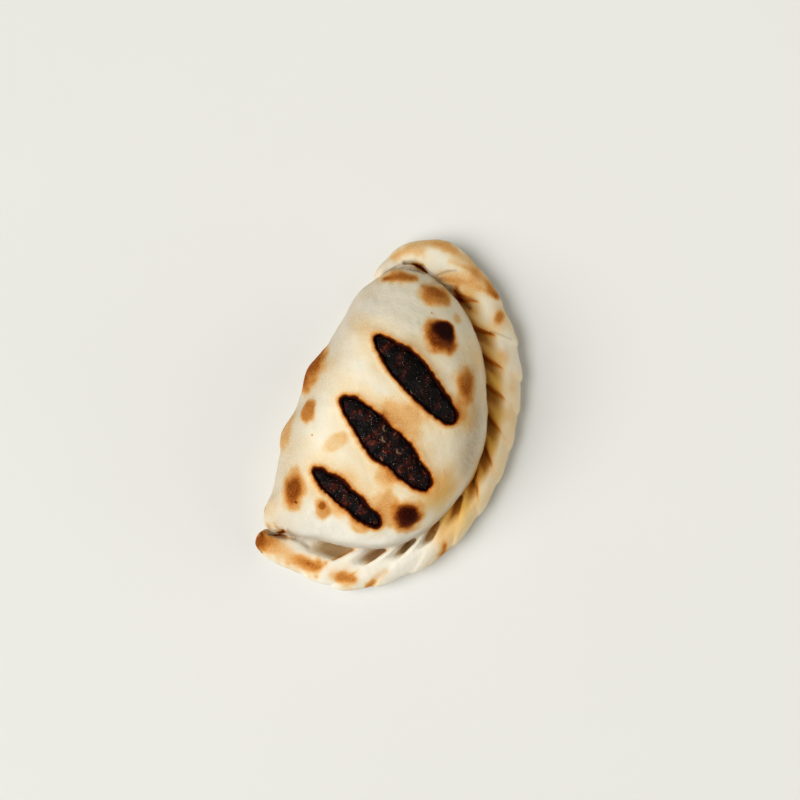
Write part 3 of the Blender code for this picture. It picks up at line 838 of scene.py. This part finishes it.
def crust_gold(points, upward):
    """How golden each point is, mostly in the valleys along the pillow's foot, and in the pockets, where the
    gold warms their painted shade.
    """
    wobble = uneven(points, GOLD_EDGES)
    across, along, distance = rim_place(points)
    left = rim_blots(RIM_GOLDS, across, along, wobble)
    valley = np.where(across < 0, smoothstep((GOLD_TOP - points[:, 2]) / GOLD_FADE), 1.0)
    left = 1 - (1 - left) * smoothstep((across + 0.22) / 0.16) * valley
    left *= pillow_blots(PILLOW_GOLDS, points, wobble)
    # Gold that warms the painted shade in the pockets
    left *= 1 - POCKET_GOLD * pocket_shade(points, across, distance, upward)
    return (1 - left) * (upward > -0.2)


def crust_pallor(points):
    """How floury and pale each point is."""
    wobble = uneven(points, PALE_EDGES)
    across, along, _ = rim_place(points)
    return 1 - rim_blots(RIM_PALES, across, along, wobble) * pillow_blots(PILLOW_PALES, points, wobble)


# The cuts' lips: rise, distance from the cut's edge and half width
LIP_RISE = 0.3 * MM
LIP_PLACE = 1.3 * MM
LIP_WIDTH = 1.1 * MM
# Small bubbles on the pillow's side over the rim: plan middle and spread (mm), and how many
BUBBLE_PATCHES = (
    ((4.8, -28), 2.6, 26), ((-3.5, -29), 2.6, 16), ((20.7, -23.9), 0.3, 2), ((30, -13), 4, 6),
)
BUBBLE_RADIUS = (0.32, 0.62)
BUBBLE_RISE = 0.22
BUBBLE_STRETCH = (1.3, 0.5)
BUBBLE_SEED = 7


def bubbles():
    """Seeded small bubbles, as (x, y, radius, rise)."""
    draw = np.random.RandomState(BUBBLE_SEED)
    made = []
    for (x, y), spread, count in BUBBLE_PATCHES:
        for _ in range(count):
            dx, dy = draw.normal(size=2) * spread * BUBBLE_STRETCH
            made.append(np.array((x + dx, y + dy, draw.uniform(*BUBBLE_RADIUS), BUBBLE_RISE)) * MM)
    return made


def crust_relief(points, upward):
    """How far each point of the dough's face stands out: unevenness, lips, grooves and bubbles."""
    relief = MM * uneven(points, DOUGH_RELIEF)
    lip = bell(edge_distance(points), LIP_PLACE, LIP_WIDTH)
    relief += LIP_RISE * lip * (points[:, 2] > 0.5 * HEIGHT)
    facing_up = smoothstep(upward / 0.5 + 0.3)
    for line, _, groove in CREVICES:
        relief -= groove * MM * stroke(points, line) * facing_up
    for x, y, radius, rise in bubbles():
        far = np.hypot(points[:, 0] - x, points[:, 1] - y) / radius
        relief += rise * smoothstep(1.6 - far) * facing_up * (points[:, 2] > WIDEST_AT_RIM)
    return relief * smoothstep(points[:, 2] / (2 * MM))


def crust():
    """The dough: pillow with cuts, rim, relief and hollow, painted with its browning and with painted shade.
    """
    made = pillow("crust_dough")
    for number, cut in enumerate(CUTS, 1):
        boolean(made, cut_block(f"well_{number}", cut), "DIFFERENCE")
    fuse(made, rope_rim("rim"))
    points, normals = surface(made.data)
    points += normals * crust_relief(points, normals[:, 2])[:, None]
    made.data.vertices.foreach_set("co", points.astype(np.float32).ravel())
    made.data.update()
    boolean(made, pillow("core", DOUGH), "DIFFERENCE")
    mesh = made.data
    points, normals = surface(mesh)
    upward = normals[:, 2]
    # Browning, with painted shade in crevices and under the pleats' noses
    paint(mesh, "browning_and_shade", crust_browning_and_shade(points, upward))
    paint(mesh, "gold", crust_gold(points, upward))
    # Painted shade in pockets, crevices and on the pillow's flanks
    paint(mesh, "shade", crust_shade(points, upward))
    paint(mesh, "pallor", crust_pallor(points))
    mesh.shade_smooth()
    return made


# Filling
FILLING_RECESS = 0.15 * MM
FILLING_CROWN = 0.9 * MM
FILLING_STEP = 0.17 * MM
GRAINS_PER_SQUARE_MM = 3.6
GRAIN_RADIUS = (0.18 * MM, 0.6 * MM)
FILLING_SEED = 40
# Pale curls of onion in it: plan points with the width there (mm)
CURLS = (
    ((-6.6, -0.9, 0.4), (-7.8, -0.8, 0.6), (-8.5, -1.7, 0.5)),
    ((-10.4, -1.8, 0.4), (-11.4, -2.3, 0.7), (-11.6, -3.4, 0.4)),
    ((-12, -7.9, 0.4), (-12.9, -8.4, 0.6), (-12.7, -9.5, 0.4)), ((-16.6, -4.2, 0.3), (-17.2, -5, 0.5)),
    ((7.2, -3.4, 0.3), (6.5, -4.2, 0.5)), ((-11.9, -15.9, 0.5), (-12.6, -16.7, 0.5)),
)
CURL_RISE = 0.45


def filling_column(name, cut, seed):
    """The granular filling that wells up in a cut, as a closed column down into the filling's core."""
    draw = np.random.RandomState(seed)
    length = cut_axes(cut)[3]
    widest = (max(cut[2]) + max(cut[3])) * MM
    share, side = share_and_side(int(length / FILLING_STEP), int(widest / FILLING_STEP))
    plan = cut_points(cut, share, side, CLEARANCE)
    count = int(GRAINS_PER_SQUARE_MM * length * widest / MM**2)
    middles = cut_points(cut, draw.uniform(0, 1, count), draw.uniform(-1, 1, count))
    radii = GRAIN_RADIUS[0] + (GRAIN_RADIUS[1] - GRAIN_RADIUS[0]) * draw.uniform(0, 1, count) ** 3
    height = np.zeros(share.shape)
    for (x, y), radius, lift in zip(middles, radii, draw.uniform(0.1, 1.0, count)):
        inside = 1 - ((plan[..., 0] - x) ** 2 + (plan[..., 1] - y) ** 2) / radius**2
        height = np.maximum(height, radius * lift * np.sqrt(np.clip(inside, 0, 1)))
    flat = np.concatenate((plan, 0 * plan[..., :1]), -1).reshape(-1, 3)
    height += 0.25 * MM * waves(flat, 4 * MM, seed).reshape(side.shape)
    for line in CURLS:
        height += CURL_RISE * MM * stroke(flat, line).reshape(side.shape)
    face = pillow_top(plan[..., 0], plan[..., 1])
    swell = FILLING_CROWN * (1 - side**2) * np.sin(math.pi * share) ** 0.5
    top = face - FILLING_RECESS - FILLING_CROWN + swell + height
    return column(name, plan, top, face - 2 * WELL_DEPTH)


def filling():
    """The filling: its core in the pillow, and a column of it in each cut."""
    made = pillow("filling_meat", DOUGH + CLEARANCE)
    for number, cut in enumerate(CUTS, 1):
        boolean(made, filling_column(f"column_{number}", cut, FILLING_SEED + number), "UNION")
    mesh = made.data
    points, _ = surface(mesh)
    redness = 0.3 + uneven(points, RED_PATCHES) + 0.35 * smoothstep(-points[:, 0] / (10 * MM))
    paint(mesh, "red", np.clip(redness, 0, 1))
    paint(mesh, "pale", np.max([stroke(points, line) for line in CURLS], axis=0))
    mesh.shade_smooth()
    return made


def new_material(name):
    """A material with its node tree and Principled shader at hand."""
    made = bpy.data.materials.new(name)
    made.use_nodes = True
    tree = made.node_tree
    return made, tree, tree.nodes["Principled BSDF"]


def set_inputs(target, **values):
    """Sets a node's inputs by their names, with _ in place of spaces."""
    for name, value in values.items():
        target.inputs[name.replace("_", " ")].default_value = value


def texture(tree, kind, **values):
    """A texture that keeps its place on the object."""
    made = tree.nodes.new(kind)
    set_inputs(made, **values)
    place = tree.nodes.new("ShaderNodeTexCoord")
    tree.links.new(place.outputs["Object"], made.inputs["Vector"])
    return made


def noise(tree, scale, detail, roughness=0.5):
    """Smooth unevenness between 0 and 1."""
    return texture(tree, "ShaderNodeTexNoise", Scale=scale, Detail=detail, Roughness=roughness).outputs["Fac"]


def roughen(tree, shader, height, strength, distance):
    """Fine bumps on the surface, from a texture's values."""
    bump = tree.nodes.new("ShaderNodeBump")
    set_inputs(bump, Strength=strength, Distance=distance)
    tree.links.new(height, bump.inputs["Height"])
    tree.links.new(bump.outputs["Normal"], shader.inputs["Normal"])


def colour_ramp(tree, factor, stops):
    """The colour for a factor, from stops of position and colour."""
    ramp = tree.nodes.new("ShaderNodeValToRGB")
    elements = ramp.color_ramp.elements
    while len(elements) < len(stops):
        elements.new(0.5)
    for element, (position, colour) in zip(elements, stops):
        element.position = position
        element.color = (*colour, 1)
    tree.links.new(factor, ramp.inputs["Fac"])
    return ramp.outputs["Color"]


def maths(tree, operation, *values, clamp=False):
    """The result of a sum, each of whose values is a number or another node's output."""
    made = tree.nodes.new("ShaderNodeMath")
    made.operation = operation
    made.use_clamp = clamp
    for socket, value in zip(made.inputs, values):
        if isinstance(value, (int, float)):
            socket.default_value = value
        else:
            tree.links.new(value, socket)
    return made.outputs[0]


def attribute(tree, name):
    """The value that the mesh holds under a name, as a factor."""
    made = tree.nodes.new("ShaderNodeAttribute")
    made.attribute_name = name
    return made.outputs["Fac"]


def mix(tree, blend, factor, first, second):
    """A colour, blended with a fixed second one by a factor."""
    made = tree.nodes.new("ShaderNodeMix")
    made.data_type = "RGBA"
    made.blend_type = blend
    tree.links.new(factor, made.inputs["Factor"])
    tree.links.new(first, made.inputs["A"])
    made.inputs["B"].default_value = (*second, 1)
    return made.outputs["Result"]


# Colours of the dough from pale to burnt, by its browning from 0 to 1; painted shade in crevices runs along
# the same colours
DOUGH_COLOURS = (
    (0, (0.86, 0.8, 0.64)), (0.09, (0.85, 0.7, 0.46)), (0.2, (0.8, 0.5, 0.21)),
    (0.34, (0.65, 0.275, 0.06)), (0.5, (0.38, 0.105, 0.01)), (0.66, (0.15, 0.03, 0.005)),
    (0.82, (0.05, 0.006, 0.001)), (1, (0.014, 0.002, 0.001)),
)
FLOUR = (0.87, 0.84, 0.75)
FLOUR_COVER = 0.85
# The dough's colour is multiplied by these where it is golden and where painted shade darkens it
GOLD = (1, 0.66, 0.17)
SHADE = (0.3, 0.2, 0.115)
# Strength of the fine speckle and of the broad patches in the browning; both grow with the browning
SPECKLE = 0.36
PATCHES = 0.16
UNEVENNESS_IN_PALE = 0.25
UNEVENNESS_BY_BROWNING = 1.6


def crust_material():
    """Dough with the colours that crust() paints on it."""
    made, tree, shader = new_material("baked_dough")
    browning_and_shade, pallor = attribute(tree, "browning_and_shade"), attribute(tree, "pallor")
    fine, broad = noise(tree, 1900, 3, 0.65), noise(tree, 130, 4, 0.55)
    speckle = maths(tree, "MULTIPLY_ADD", fine, SPECKLE, -SPECKLE / 2)
    patches = maths(tree, "MULTIPLY_ADD", broad, PATCHES, -PATCHES / 2)
    both = maths(tree, "ADD", speckle, patches)
    weight = maths(tree, "MULTIPLY_ADD", browning_and_shade, UNEVENNESS_BY_BROWNING, UNEVENNESS_IN_PALE)
    browned_and_shaded = maths(tree, "ADD", browning_and_shade, maths(tree, "MULTIPLY", both, weight), clamp=True)
    dough = colour_ramp(tree, browned_and_shaded, DOUGH_COLOURS)
    fresh = maths(tree, "SUBTRACT", pallor, maths(tree, "MULTIPLY", browning_and_shade, 4.0), clamp=True)
    floury = mix(tree, "MIX", maths(tree, "MULTIPLY", fresh, FLOUR_COVER), dough, FLOUR)
    golden = mix(tree, "MULTIPLY", attribute(tree, "gold"), floury, GOLD)
    # Painted shade from the shade attribute, mottled by the fine noise, darkens the dough
    shade_mottling = maths(tree, "ADD", fine, 0.5)
    mottled_shade = maths(tree, "MULTIPLY", attribute(tree, "shade"), shade_mottling, clamp=True)
    shaded = mix(tree, "MULTIPLY", mottled_shade, golden, SHADE)
    tree.links.new(shaded, shader.inputs["Base Color"])
    roughen(tree, shader, fine, 0.35, 0.4 * MM)
    set_inputs(shader, Roughness=0.7, Specular_IOR_Level=0.03)
    set_inputs(shader, Subsurface_Weight=0.16, Subsurface_Radius=(1.0, 0.5, 0.25), Subsurface_Scale=1.5 * MM)
    return made


# Colours of the filling's grains, from the commonest to the reddest, and of its curls and glints
FILLING_COLOURS = (
    (0, (0.003, 0.002, 0.002)), (0.25, (0.005, 0.002, 0.002)),
    (0.5, (0.022, 0.004, 0.002)), (0.85, (0.13, 0.016, 0.005)),
)
CURL_COLOUR = (0.26, 0.15, 0.08)
GLINT_COLOUR = (0.4, 0.36, 0.32)
# A grain's middle glints within this share of its width, where the fine noise is over a limit
GLINT_SHARE = 0.13
GLINTS_FROM = 0.5


def filling_material():
    """Dark, moist grains with pale curls."""
    made, tree, shader = new_material("dark_filling")
    grains = texture(tree, "ShaderNodeTexVoronoi", Scale=1250.0)
    fine = noise(tree, 1800, 3)
    redness = maths(tree, "MULTIPLY", attribute(tree, "red"), grains.outputs["Color"])
    meat = colour_ramp(tree, redness, FILLING_COLOURS)
    curls = maths(tree, "MULTIPLY", attribute(tree, "pale"), 0.8)
    curled = mix(tree, "MIX", curls, meat, CURL_COLOUR)
    glints = maths(tree, "LESS_THAN", grains.outputs["Distance"], GLINT_SHARE)
    some = maths(tree, "GREATER_THAN", fine, GLINTS_FROM)
    speckled = mix(tree, "MIX", maths(tree, "MULTIPLY", glints, some), curled, GLINT_COLOUR)
    tree.links.new(speckled, shader.inputs["Base Color"])
    roughen(tree, shader, fine, 0.5, 0.3 * MM)
    set_inputs(shader, Roughness=0.55, Specular_IOR_Level=0.1)
    return made


# The floor's width (metres), and its faint mottling
FLOOR_SIZE = 3
FLOOR_COLOURS = ((0, (0.8, 0.807, 0.79)), (1, (0.83, 0.837, 0.82)))


def floor():
    """The pale ground that the empanada lies on."""
    bpy.ops.mesh.primitive_plane_add(size=FLOOR_SIZE)
    made = bpy.context.object
    made.name = "floor"
    coat, tree, shader = new_material("pale_floor")
    tree.links.new(colour_ramp(tree, noise(tree, 9, 2), FLOOR_COLOURS), shader.inputs["Base Color"])
    set_inputs(shader, Roughness=0.5)
    made.data.materials.append(coat)


SKY_COLOUR = (1, 0.985, 0.95)
SKY_STRENGTH = 0.1
# Lights: name, direction it comes from, power, softness of its shadows (degrees) and colour
SUNS = (
    ("window", (-0.6, 0.63, 0.88), 3.2, 52, (1, 0.985, 0.955)),
    ("ceiling", (-0.15, 0.15, 1), 0.2, 80, (1, 0.99, 0.96)),
    ("bounce", (0.44, -0.9, 0.25), 1.3, 80, (1, 0.93, 0.8)),
)


def light():
    """Sky and suns."""
    world = bpy.data.worlds.new("studio")
    world.use_nodes = True
    set_inputs(world.node_tree.nodes["Background"], Color=(*SKY_COLOUR, 1), Strength=SKY_STRENGTH)
    bpy.context.scene.world = world
    for name, direction, power, softness, colour in SUNS:
        data = bpy.data.lights.new(name, "SUN")
        data.energy = power
        data.angle = math.radians(softness)
        data.color = colour
        put_in_scene(name, data).rotation_euler = Vector(direction).to_track_quat("Z", "Y").to_euler()
    bpy.context.scene.view_settings.view_transform = "Standard"


def camera():
    """The camera over the empanada, at the photograph's angle."""
    image_up = Vector((-IMAGE_RIGHT.y, IMAGE_RIGHT.x, 0))
    forward = image_up * math.cos(CAMERA_ELEVATION) - Vector((0, 0, math.sin(CAMERA_ELEVATION)))
    up = IMAGE_RIGHT.cross(forward)
    data = bpy.data.cameras.new("camera")
    data.sensor_width = 36
    data.lens = data.sensor_width * CAMERA_DISTANCE / FIELD_WIDTH
    data.clip_start = 0.01
    turn = Matrix((IMAGE_RIGHT, up, -forward)).transposed().to_4x4()
    made = put_in_scene("camera", data)
    made.matrix_world = Matrix.Translation(CAMERA_TARGET - forward * CAMERA_DISTANCE) @ turn
    bpy.context.scene.camera = made


def dress(piece, coat, node_name):
    """Gives a piece its material, and puts it in place of a solid."""
    piece.data.materials.clear()
    piece.data.materials.append(coat)
    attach(piece, "root")
    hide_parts(node_name)


camera()
floor()
light()
dress(crust(), crust_material(), "crust")
dress(filling(), filling_material(), "filling")
